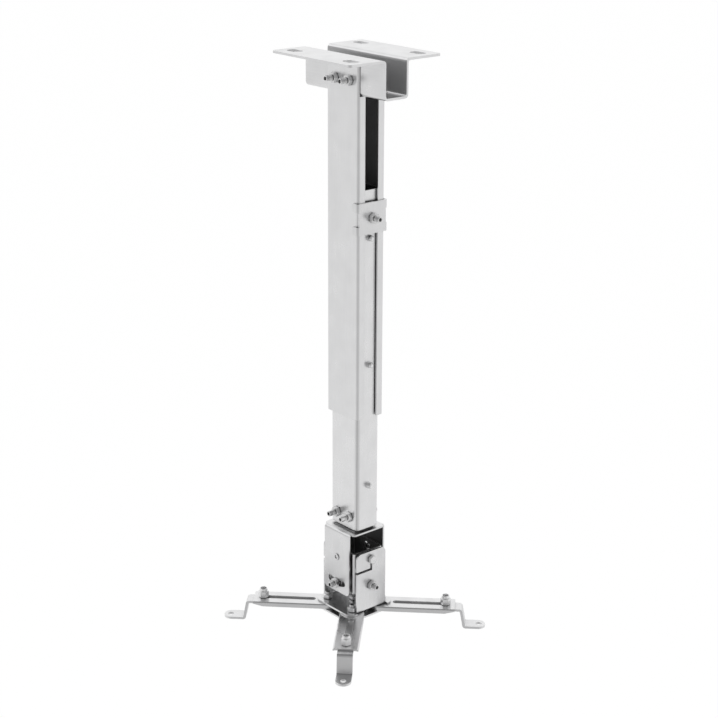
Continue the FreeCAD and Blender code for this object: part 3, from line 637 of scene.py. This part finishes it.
def socket_head(radius: float, height: float, key: float, depth: float) -> Form:
    """A round screw head that hangs below the face it bears on, with a six-sided key socket.

    Args:
        radius: the head's radius.
        height: how far the head reaches down.
        key: the socket's width across flats.
        depth: the socket's depth.

    Returns:
        The form, in a bmesh of its own.
    """
    form = bmesh.new()
    face, inside = Matrix.Translation((0.0, 0.0, -height * MM)), radius - HEAD_RIM
    corner = key / math.sqrt(3.0)
    rim = bmesh.ops.create_circle(form, cap_ends=False, segments=ROUND, radius=inside * MM, matrix=face)
    hole = bmesh.ops.create_circle(form, cap_ends=False, segments=HEX_SIDES, radius=corner * MM, matrix=face)
    rim_edges, hole_edges = (list({edge for vert in ring["verts"] for edge in vert.link_edges})
                             for ring in (rim, hole))
    bmesh.ops.bridge_loops(form, edges=rim_edges + hole_edges)
    sunk = bmesh.ops.extrude_edge_only(form, edges=hole_edges)["geom"]
    floor = [item for item in sunk if isinstance(item, bmesh.types.BMVert)]
    bmesh.ops.translate(form, verts=floor, vec=(0.0, 0.0, depth * MM))
    edges = [item for item in sunk if isinstance(item, bmesh.types.BMEdge)]
    outline = [edge for edge in edges if all(vert in floor for vert in edge.verts)]
    bmesh.ops.contextual_create(form, geom=outline)
    spin_round(form, [(inside, -height), (radius, HEAD_RIM - height), (radius, 0.0), (0.0, 0.0)])
    return form


@dataclass(frozen=True)
class Seat:
    """Where a fastener sits, in millimetres, and which way its shank points."""

    x: float
    y: float
    z: float
    way: Way
    heading: float = 0.0

    @property
    def matrix(self) -> Matrix:
        """The transform to the mount's frame.

        Returns:
            The transform from the fastener's own frame, its shank along +z.
        """
        lean = Way.UP.vector.rotation_difference(self.way.vector).to_matrix().to_4x4()
        spot = Matrix.Translation((self.x * MM, self.y * MM, self.z * MM))
        return spot @ lean @ Matrix.Rotation(self.heading, 4, "Z")


def upended(height: float) -> Matrix:
    """The transform that turns a form upside down and sets its base at a height, in millimetres."""
    return Matrix.Translation((0.0, 0.0, height * MM)) @ Matrix.Rotation(math.pi, 4, "X")


class Piece:
    """One new object, gathered from forms that are already in place."""

    def __init__(self, name: str) -> None:
        """Starts an empty piece.

        Args:
            name: the object's name.
        """
        self.name = name
        self.gathered = bmesh.new()

    def add(self, form: Form, matrix: Matrix) -> None:
        """Closes a form, turns its faces outwards, places it and takes it in.

        Args:
            form: the form, which is freed.
            matrix: where it goes.
        """
        bmesh.ops.remove_doubles(form, verts=form.verts[:], dist=MERGE)
        bmesh.ops.recalc_face_normals(form, faces=form.faces[:])
        form.transform(matrix)
        carried = bpy.data.meshes.new("form")
        form.to_mesh(carried)
        form.free()
        self.gathered.from_mesh(carried)
        bpy.data.meshes.remove(carried)

    def finish(self, body: str, slot: str, finish: Finish, node: str) -> None:
        """Makes the object, dresses it and ties it to its body.

        Args:
            body: the body that it rides on.
            slot: not used.
            finish: its finish.
            node: the node that it stands for.
        """
        for face in self.gathered.faces:
            face.smooth = True
        for edge in self.gathered.edges:
            edge.smooth = edge.is_manifold and edge.calc_face_angle() < SHARP
        mesh = bpy.data.meshes.new(self.name)
        self.gathered.to_mesh(mesh)
        self.gathered.free()
        mesh.materials.append(FinishShelf.get(finish))
        made = bpy.data.objects.new(self.name, mesh)
        bpy.context.scene.collection.objects.link(made)
        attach(made, body)
        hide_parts(node)
        LOG.info("%s rides on %s, %d faces", self.name, body, len(mesh.polygons))


@dataclass
class SubAssembly:
    """What every group of pieces shares: fastener sizes and how its sheets are dressed."""

    bolt_radius: float = 2.5
    across_flats: float = 8.0
    nut_height: float = 4.0
    head_height: float = 3.5
    key: float = 3.0
    key_depth: float = 2.4
    tip: float = 3.0
    tip_overlap: float = 0.4
    tip_relief: float = 0.1
    fastener_slot: str = "fastener_zinc"

    def dress(self, node: str, finish: Finish) -> None:
        """Gives a sheet its finish.

        Args:
            node: the sheet's node.
            finish: its finish.
        """
        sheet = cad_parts[node]
        sheet.data.materials.clear()
        sheet.data.materials.append(FinishShelf.get(finish))
        LOG.info("%s takes %s", node, finish.value.name)

    def shank(self, piece: Piece, seat: Seat, start: float, length: float, plain: float = 0.0) -> None:
        """Adds a threaded shank with a six-sided key socket in its end.

        Args:
            piece: the piece to add it to.
            seat: where the shank starts and which way it points.
            start: how far along the shank the form starts.
            length: how far along the shank its end is.
            plain: how much of it has no thread.
        """
        base = length - self.tip
        piece.add(threaded(self.bolt_radius, start, base + self.tip_overlap, plain=plain), seat.matrix)
        end = socket_head(self.bolt_radius - self.tip_relief, self.tip, self.key, self.key_depth)
        piece.add(end, seat.matrix @ upended(base))

    def bolts(self, node: str, body: str, seats: list[Seat], length: float, plain: float = 0.0,
              spacer: tuple[float, float, float] | None = None) -> None:
        """Hexagon-headed bolts in place of a node.

        Args:
            node: the node that they stand for.
            body: the body that they ride on.
            seats: where they sit.
            length: the shank's length under the head.
            plain: how much of it has no thread.
            spacer: the radius, start and length of a collar on the shank.
        """
        piece = Piece(f"{node}_turned")
        for seat in seats:
            piece.add(hexagon(self.across_flats, -self.head_height, self.head_height), seat.matrix)
            self.shank(piece, seat, -OVERLAP, length, plain)
            if spacer:
                piece.add(collar(*spacer), seat.matrix)
        piece.finish(body, self.fastener_slot, Finish.FASTENER, node)

    def nuts(self, node: str, body: str, seats: list[Seat], finish: Finish = Finish.FASTENER) -> None:
        """Hexagon nuts in place of a node.

        Args:
            node: the node that they stand for.
            body: the body that they ride on.
            seats: where they sit.
            finish: their finish.
        """
        piece = Piece(f"{node}_turned")
        for seat in seats:
            piece.add(hexagon(self.across_flats, 0.0, self.nut_height), seat.matrix)
        piece.finish(body, self.fastener_slot, finish, node)

    def through_bolts(self, label: str, body: str, pitch: float, wall: float, height: float, length: float,
                      plain: float) -> None:
        """Two bolts from the back to the front through a pair of walls, with their nuts.

        Args:
            label: the start of their nodes' names.
            body: the body that they ride on.
            pitch: how far apart they are.
            wall: how far from the middle the walls' outer faces are.
            height: their z.
            length: the shank's length under the head.
            plain: how much of it has no thread.
        """
        sides = (-pitch / 2, pitch / 2)
        self.bolts(f"{label}_bolts", body, [Seat(x, wall, height, Way.FRONT) for x in sides], length, plain)
        self.nuts(f"{label}_nuts", body, [Seat(x, -wall, height, Way.FRONT) for x in sides])


@dataclass
class CeilingBracket(SubAssembly):
    """The hat bracket and the bolts that carry the outer column."""

    pitch: float = 18.0
    drop: float = -20.0
    wall: float = 14.5
    length: float = 39.5
    plain: float = 14.0

    def build(self) -> None:
        """Builds the bracket's bolts and nuts and dresses its sheet."""
        self.dress("ceiling_bracket", Finish.BRACKET)
        self.through_bolts("bracket", "ceiling", self.pitch, self.wall, self.drop, self.length, self.plain)


@dataclass
class Column(SubAssembly):
    """The two columns, the clamp over the slot, the guide screws and the socket's bolts."""

    clamp_height: float = -132.7
    clamp_seat: float = 16.1
    clamp_face: float = 21.7
    clamp_length: float = 15.1
    guide_seat: float = 17.6
    guide_heights: tuple[float, ...] = (-150.6, -261.0, -371.4)
    guide_radius: float = 2.7
    guide_head: float = 4.6
    guide_curve: int = 9
    guide_shank: float = 1.65
    guide_length: float = 6.0
    guide_tip: float = 1.3
    guide_bevel: float = 0.4
    guide_round: int = 24
    socket_pitch: float = 16.0
    socket_height: float = -401.0
    socket_wall: float = 12.6
    socket_length: float = 35.7
    socket_plain: float = 12.0

    def build(self) -> None:
        """Builds the column's fasteners and dresses its sheets."""
        self.dress("outer_column", Finish.OUTER)
        self.dress("inner_column", Finish.INNER)
        self.dress("clamp_plate", Finish.CLAMP)
        self.dress("tube_socket", Finish.BOX)
        head = Seat(self.clamp_seat, 0.0, self.clamp_height, Way.RIGHT)
        self.bolts("clamp_bolt", "drop", [head], self.clamp_length)
        self.nuts("clamp_nut", "drop", [Seat(self.clamp_face, 0.0, self.clamp_height, Way.RIGHT)])
        self.guides()
        self.through_bolts("socket", "drop", self.socket_pitch, self.socket_wall, self.socket_height,
                           self.socket_length, self.socket_plain)

    def guides(self) -> None:
        """Builds the guide screws, with their round heads."""
        piece = Piece("guide_screws_turned")
        shank = [(0.0, -OVERLAP), (self.guide_shank, -OVERLAP),
                 (self.guide_shank, self.guide_length - self.guide_bevel),
                 (self.guide_tip, self.guide_length), (0.0, self.guide_length)]
        for height in self.guide_heights:
            seat = Seat(self.guide_seat, 0.0, height, Way.LEFT)
            piece.add(domed(self.guide_radius, self.guide_head, self.guide_curve), seat.matrix)
            piece.add(turned(shank, self.guide_round), seat.matrix)
        piece.finish("drop", self.fastener_slot, Finish.POLISHED, "guide_screws")


@dataclass
class TiltBox(SubAssembly):
    """The yoke, ring and cradle, with their rivets and lock bolts."""

    pivot_height: float = -440.0
    lock_height: float = -465.0
    rivet_radius: float = 4.2
    rivet_tail: float = 1.5
    rivet_shank: float = 2.48
    pin_radius: float = 3.2
    pin_head: float = 0.8
    pin_floor: float = 0.1
    roll_across: float = 7.2
    roll_head: float = 3.2
    lock_length: float = 13.7
    grip: float = 5.6
    wall: float = 1.6
    spacer: float = 2.1
    pitch_inside: float = 14.9
    roll_inside: float = 17.4
    slip: float = 0.1

    def build(self) -> None:
        """Builds the box's fasteners and dresses its sheets."""
        self.dress("yoke", Finish.YOKE)
        self.dress("tilt_ring", Finish.RING)
        self.dress("cradle", Finish.BOX)
        self.axis(Axis.PITCH, "ring", (Way.BACK, Way.FRONT), self.pitch_inside)
        self.axis(Axis.ROLL, "cradle", (Way.RIGHT, Way.LEFT), self.roll_inside)

    def out(self, way: Way, distance: float, height: float) -> Seat:
        """A seat at a distance out from the middle.

        Args:
            way: the level direction.
            distance: how far out.
            height: its z.

        Returns:
            The seat, with its shank pointing out.
        """
        spot = way.vector * distance
        return Seat(spot.x, spot.y, height, way)

    def outer_head(self, axis: Axis) -> Form:
        """The outer head of a pivot: a nearly flush pin on the pitch axis, a hexagon on the roll axis.

        Args:
            axis: which axis.

        Returns:
            The form, in a bmesh of its own.
        """
        if axis is Axis.ROLL:
            return hexagon(self.roll_across, self.grip, self.roll_head)
        form = socket_head(self.pin_radius, self.pin_head, self.key, self.pin_head - self.pin_floor)
        form.transform(upended(self.grip))
        return form

    def axis(self, axis: Axis, body: str, ways: tuple[Way, Way], inside: float) -> None:
        """Builds the rivets of one axis and its lock bolts and nuts.

        Args:
            axis: which axis.
            body: the body that the lock bolts ride on.
            ways: the two directions of the axis.
            inside: how far out the ring's inner face is.
        """
        label = axis.value
        rivets = Piece(f"{label}_pivots_turned")
        end = self.grip + OVERLAP
        shank = [(0.0, -OVERLAP), (self.rivet_shank, -OVERLAP), (self.rivet_shank, end), (0.0, end)]
        for way in ways:
            seat = self.out(way, inside, self.pivot_height)
            rivets.add(self.outer_head(axis), seat.matrix)
            rivets.add(domed(self.rivet_radius, self.rivet_tail), seat.matrix)
            rivets.add(turned(shank), seat.matrix)
            rivets.add(collar(self.rivet_radius, self.wall + self.slip, self.spacer), seat.matrix)
        rivets.finish("ring", self.fastener_slot, Finish.FASTENER, f"{label}_pivots")
        heads = [self.out(way, inside - self.slip, self.lock_height) for way in ways]
        self.bolts(f"{label}_lock_bolts", body, heads, self.lock_length,
                   spacer=(self.rivet_radius, self.wall + 2 * self.slip, self.spacer))
        faces = [self.out(way, inside + self.grip, self.lock_height) for way in ways]
        self.nuts(f"{label}_lock_nuts", body, faces)


@dataclass
class Arms(SubAssembly):
    """The four arms and feet, their pivot bolts and the bolts that hold the feet."""

    pivot: float = 16.75
    arm_under: float = -491.0
    sink: float = 1.5
    pivot_length: float = 9.6
    pivot_plain: float = 1.8
    pivot_nut: float = -487.4
    pivot_turn: float = math.radians(30.0)
    slot_end: float = 58.0
    strip_under: float = -493.1
    carriage_radius: float = 4.8
    carriage_head: float = 2.2
    carriage_length: float = 11.2
    arm_top: float = -489.3
    sleeve_radius: float = 3.3
    sleeve_height: float = 4.7
    sleeve_overlap: float = 0.3
    sleeve_gap: float = 0.05
    sleeve_rim: tuple[float, float] = (0.25, 0.35)
    sleeve_mouth: tuple[float, float] = (0.15, 0.3)
    foot_hexagon: float = 6.4
    cover_under: float = -495.6
    cover_length: float = 14.0
    cover_nut: float = -487.6

    def build(self) -> None:
        """Builds the arms' fasteners and dresses their sheets."""
        heads = Piece("arm_pivot_bolts_turned")
        flare = self.bolt_radius + self.sink
        sunk = [(0.0, 0.0), (flare, 0.0), (self.bolt_radius, self.sink), (0.0, self.sink)]
        seats = []
        for corner in Corner:
            x, y = (sign * self.pivot for sign in corner.value)
            seat = Seat(x, y, self.arm_under, Way.UP)
            heads.add(turned(sunk), seat.matrix)
            self.shank(heads, seat, self.sink - OVERLAP, self.pivot_length, self.pivot_plain)
            seats.append(Seat(x, y, self.pivot_nut, Way.UP, self.pivot_turn))
            self.foot(corner)
        heads.finish("cradle", self.fastener_slot, Finish.FASTENER, "arm_pivot_bolts")
        self.nuts("arm_pivot_nuts", "cradle", seats, Finish.POLISHED)
        self.dress("cover_plate", Finish.BOX)
        self.dress("cover_spacer", Finish.FASTENER)
        self.bolts("cover_bolt", "cradle", [Seat(0.0, 0.0, self.cover_under, Way.UP)], self.cover_length)
        self.nuts("cover_nut", "cradle", [Seat(0.0, 0.0, self.cover_nut, Way.UP)])

    def sleeve(self) -> Form:
        """The bored sleeve on top of a foot's nut.

        Returns:
            The form, in a bmesh of its own.
        """
        bore, outer = self.bolt_radius + self.sleeve_gap, self.sleeve_radius
        low, top = self.foot_hexagon - self.sleeve_overlap, self.nut_height + self.sleeve_height
        (rim_in, rim_drop), (mouth_out, mouth_drop) = self.sleeve_rim, self.sleeve_mouth
        return turned([(bore, low), (outer, low), (outer, top - rim_drop), (outer - rim_in, top),
                       (bore + mouth_out, top), (bore, top - mouth_drop)], hollow=True)

    def foot(self, corner: Corner) -> None:
        """Dresses one arm and its foot, and builds the foot's bolt and nut.

        Args:
            corner: which arm.
        """
        finish = Finish.ARM_RISING if corner.value[0] == corner.value[1] else Finish.ARM_FALLING
        self.dress(f"arm_{corner.label}", finish)
        self.dress(f"foot_{corner.label}", finish)
        reach = self.pivot + self.slot_end * math.sqrt(0.5)
        x, y = (sign * reach for sign in corner.value)
        body = f"foot_{corner.label}"
        bolt = Piece(f"foot_bolt_{corner.label}_turned")
        seat = Seat(x, y, self.strip_under, Way.UP)
        bolt.add(domed(self.carriage_radius, self.carriage_head), seat.matrix)
        self.shank(bolt, seat, -OVERLAP, self.carriage_length)
        bolt.finish(body, self.fastener_slot, Finish.FASTENER, f"foot_bolt_{corner.label}")
        nut = Piece(f"foot_nut_{corner.label}_turned")
        spot = Seat(x, y, self.arm_top, Way.UP, corner.angle).matrix
        nut.add(hexagon(self.across_flats, 0.0, self.foot_hexagon), spot)
        nut.add(self.sleeve(), spot)
        nut.finish(body, self.fastener_slot, Finish.POLISHED, f"foot_nut_{corner.label}")


@dataclass
class Studio:
    """The white room: a pale floor, soft lamps and the camera at the photograph's place.

    Places are in metres and angles in degrees. The focal length and the image's width are in pixels, and
    the sensor's width is in millimetres.
    """

    azimuth: float = 49.5
    elevation: float = 19.068
    distance: float = 1.445464
    aim_height: float = -0.260733
    aim_right: float = 0.0033384
    roll: float = 0.248
    focal: float = 1696.346
    image: float = 718.0
    sensor: float = 36.0
    floor_height: float = -2.2
    floor_radius: float = 30.0
    floor_white: float = 0.957
    floor_unlit: float = 0.88
    floor_glow: float = 0.80
    front_glow: float = 0.53
    back_glow: float = 1.02
    side_glow: float = 0.38
    roof_share: float = 0.35
    lamp_size: float = 2.4
    key_spot: Point = (-1.6, -1.2, 1.2)
    key_power: float = 10.0
    fill_spot: Point = (1.6, 0.9, 0.9)
    fill_power: float = 7.0

    # Where one part of the room gives way to the next, by a direction's facing or by its height.
    BACK_TO_SIDE = (-0.85, -0.35)
    FLOOR_TO_FRONT = (0.3, 0.95)
    HORIZON = (-0.02, 0.06)
    WALL_TO_ROOF = (0.60, 0.92)

    # The floor's roundness and grain, and the room's colours.
    FLOOR_ROUND = 96
    FLOOR_GRAIN = 30.0
    FLOOR_DETAIL = 2.0
    PALE = (0.80, 0.80, 0.80)
    PALER = (0.84, 0.84, 0.84)
    WHITE = (1.0, 1.0, 1.0, 1.0)
    BLACK = (0.0, 0.0, 0.0, 1.0)

    def build(self) -> None:
        """Builds the whole room."""
        bpy.context.scene.view_settings.view_transform = "Standard"
        self.world()
        self.floor()
        self.camera()
        self.lamp("key", self.key_spot, self.key_power)
        self.lamp("fill", self.fill_spot, self.fill_power)

    def facing(self, graph: Graph, place: Socket) -> Socket:
        """How far a direction points to the room's unlit front: 1 straight at it, -1 straight away.

        Args:
            graph: the tree of the floor or the world.
            place: a place or direction seen from the mount.

        Returns:
            The level direction's cosine.
        """
        level = graph.vector("MULTIPLY", place, (1.0, 1.0, 0.0)).outputs[0]
        unit = graph.node("VectorMath", operation="NORMALIZE")
        graph.feed(unit.inputs[0], level)
        turn = math.radians(self.azimuth)
        front = (math.sin(turn), -math.cos(turn), 0.0)
        return graph.vector("DOT_PRODUCT", unit.outputs[0], front).outputs["Value"]

    def seen(self, graph: Graph) -> Socket:
        """A socket that is 1 for what the camera sees directly or through glass."""
        path = graph.node("LightPath")
        return graph.math("MAXIMUM", path.outputs["Is Camera Ray"], path.outputs["Is Transmission Ray"])

    def ground(self, graph: Graph, front: Socket) -> Socket:
        """How bright the ground is in reflections, by its facing."""
        return graph.spread(front, *self.FLOOR_TO_FRONT, self.floor_glow, self.front_glow)

    def world(self) -> None:
        """A white room, with an unlit side in reflections."""
        world = bpy.data.worlds.new("white_room")
        world.use_nodes = True
        bpy.context.scene.world = world
        graph = Graph(world.node_tree)
        direction = graph.node("TexCoord").outputs["Generated"]
        split = graph.node("SeparateXYZ")
        graph.feed(split.inputs[0], direction)
        height = split.outputs["Z"]
        front = self.facing(graph, direction)
        wall = graph.spread(front, *self.BACK_TO_SIDE, self.back_glow, self.side_glow)
        roof = graph.spread(height, *self.WALL_TO_ROOF, 1.0, self.roof_share)
        above = graph.spread(height, *self.HORIZON, 0.0, 1.0)
        upper = graph.math("MULTIPLY", above, graph.math("MULTIPLY", wall, roof))
        lower = graph.math("MULTIPLY", graph.math("SUBTRACT", 1.0, above), self.ground(graph, front))
        strength = graph.math("MAXIMUM", self.seen(graph), graph.math("ADD", upper, lower))
        background = graph.node("Background")
        background.inputs["Color"].default_value = self.WHITE
        graph.feed(background.inputs["Strength"], strength)
        graph.feed(graph.node("OutputWorld").inputs["Surface"], background.outputs[0])

    def floor(self) -> None:
        """A plain pale floor, a room's height below the ceiling that the mount hangs from."""
        form = bmesh.new()
        bmesh.ops.create_circle(form, cap_ends=True, segments=self.FLOOR_ROUND, radius=self.floor_radius,
                                matrix=Matrix.Translation((0.0, 0.0, self.floor_height)))
        mesh = bpy.data.meshes.new("floor")
        form.to_mesh(mesh)
        form.free()
        floor = bpy.data.objects.new("floor", mesh)
        bpy.context.scene.collection.objects.link(floor)
        mesh.materials.append(self.floor_material())

    def floor_material(self) -> bpy.types.Material:
        """A matt floor that the camera sees white and reflections see as bright as the room.

        Returns:
            The finished material.
        """
        made = bpy.data.materials.new("pale_floor")
        made.use_nodes = True
        graph = Graph(made.node_tree)
        place = graph.node("TexCoord").outputs["Object"]
        glossy = graph.node("LightPath").outputs["Is Glossy Ray"]
        seen = self.seen(graph)
        low = self.ground(graph, self.facing(graph, place))
        light = graph.node("Emission")
        strength = graph.math("MAXIMUM", graph.math("MULTIPLY", seen, self.floor_white),
                              graph.math("MULTIPLY", glossy, low))
        graph.feed(light.inputs["Strength"], strength)
        matt = graph.node("BsdfDiffuse")
        grain = graph.noise(place, self.FLOOR_GRAIN, self.FLOOR_DETAIL)
        graph.feed(matt.inputs["Color"], graph.blend(grain, self.PALE, self.PALER))
        unlit = graph.node("BsdfDiffuse")
        unlit.inputs["Color"].default_value = self.BLACK
        mixed = graph.node("MixShader")
        shown = graph.math("MAXIMUM", seen, glossy)
        graph.feed(mixed.inputs[0], graph.math("MULTIPLY", shown, self.floor_unlit))
        graph.feed(mixed.inputs[1], matt.outputs[0])
        graph.feed(mixed.inputs[2], unlit.outputs[0])
        both = graph.node("AddShader")
        graph.feed(both.inputs[0], mixed.outputs[0])
        graph.feed(both.inputs[1], light.outputs[0])
        graph.feed(graph.node("OutputMaterial").inputs["Surface"], both.outputs[0])
        return made

    def lamp(self, name: str, spot: Point, power: float) -> None:
        """A large soft lamp that points at the mount's middle.

        Args:
            name: the lamp's name.
            spot: where it stands, in metres.
            power: its power, in watts.
        """
        data = bpy.data.lights.new(name, "AREA")
        data.size = self.lamp_size
        data.energy = power
        lamp = bpy.data.objects.new(name, data)
        lamp.location = spot
        ahead = Vector((0.0, 0.0, self.aim_height)) - Vector(spot)
        lamp.rotation_euler = ahead.to_track_quat("-Z", "Y").to_euler()
        bpy.context.scene.collection.objects.link(lamp)

    def camera(self) -> None:
        """The camera, level but for a slight roll, at the photograph's place."""
        turn, tilt, roll = (math.radians(angle) for angle in (self.azimuth, self.elevation, self.roll))
        ahead = Vector((-math.sin(turn) * math.cos(tilt), math.cos(turn) * math.cos(tilt), -math.sin(tilt)))
        level = Vector((math.cos(turn), math.sin(turn), 0.0))
        upright = level.cross(ahead)
        eye = Vector((0.0, 0.0, self.aim_height)) + level * self.aim_right - ahead * self.distance
        right = level * math.cos(roll) + upright * math.sin(roll)
        up = upright * math.cos(roll) - level * math.sin(roll)
        data = bpy.data.cameras.new("camera")
        data.sensor_width = self.sensor
        data.sensor_fit = "HORIZONTAL"
        data.lens = self.focal / self.image * self.sensor
        camera = bpy.data.objects.new("camera", data)
        camera.matrix_world = Matrix.Translation(eye) @ Matrix((right, up, -ahead)).transposed().to_4x4()
        bpy.context.scene.collection.objects.link(camera)
        bpy.context.scene.camera = camera


def write_sizes() -> None:
    """Brings the scene's transforms up to date.
    """
    bpy.context.view_layer.update()


def main() -> None:
    """Builds every sub-assembly and the room, in order."""
    logging.basicConfig(level=logging.INFO, format="%(name)s: %(message)s")
    for assembly in (CeilingBracket(), Column(), TiltBox(), Arms(), Studio()):
        assembly.build()
        LOG.info("%s is built", type(assembly).__name__)
    write_sizes()


if __name__ == "__main__":
    main()
